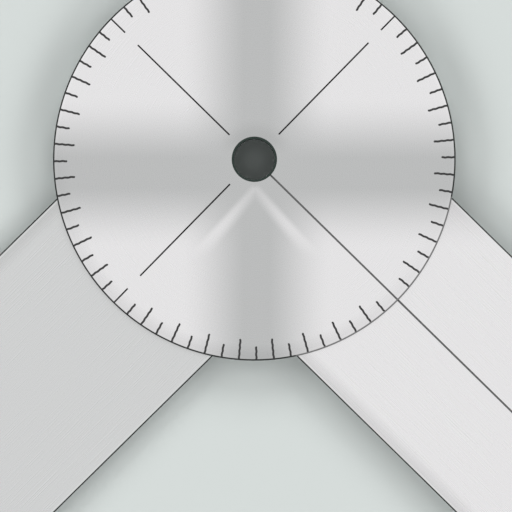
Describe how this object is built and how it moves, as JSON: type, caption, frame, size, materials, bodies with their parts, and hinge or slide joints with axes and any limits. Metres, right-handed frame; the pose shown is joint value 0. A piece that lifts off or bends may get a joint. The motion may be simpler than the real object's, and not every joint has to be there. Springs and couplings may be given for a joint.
{
  "type": "goniometer",
  "caption": "Two-armed goniometer: a round graduated dial on a fixed arm, and a moving arm that turns round an open hollow pivot.",
  "frame": {"origin": "on the pivot's axis, at the lower end of the hollow rivet, the surface that the tool stands on", "axes": "+Z out of the dial's face, +X along the zero line towards the fixed arm's tip; the moving arm is at rest 91 degrees clockwise from +X"},
  "size_m": [0.3002, 0.3002, 0.0055],
  "materials": {
    "dial_steel": "satin brushed stainless steel with soft grey bands across its middle",
    "fixed_arm_steel": "satin brushed stainless steel, light",
    "moving_arm_steel": "satin brushed stainless steel, a little darker",
    "dark_enamel": "dark grey filling in the engraved marks",
    "grey_enamel": "mid grey filling in the engraved zero line",
    "bright_steel": "turned stainless steel",
    "blackened_steel": "black oxide, satin",
    "spring_steel": "dull spring steel",
    "white_plastic": "off-white low-friction plastic",
    "bronze": "bearing bronze"
  },
  "bodies": {
    "fixed_arm_and_dial": {"dial_disc": "dial_steel", "short_graduations": "dark_enamel", "long_graduations": "dark_enamel", "cardinal_graduations": "dark_enamel", "axis_lines": "dark_enamel", "dial_zero_line": "grey_enamel", "arm_zero_line": "grey_enamel", "fixed_arm": "fixed_arm_steel", "dial_studs": "bright_steel", "pivot_bush": "blackened_steel", "friction_washer": "white_plastic", "thrust_washer": "white_plastic", "disc_spring": "spring_steel", "back_washer": "bright_steel"},
    "moving_arm": {"moving_arm": "moving_arm_steel", "arm_bearing": "bronze"}
  },
  "joints": [
    {"name": "arm_pivot", "type": "hinge", "parent": "fixed_arm_and_dial", "child": "moving_arm", "pos_m": [0, 0, 0], "axis": [0, 0, 1], "continuous": true}
  ]
}
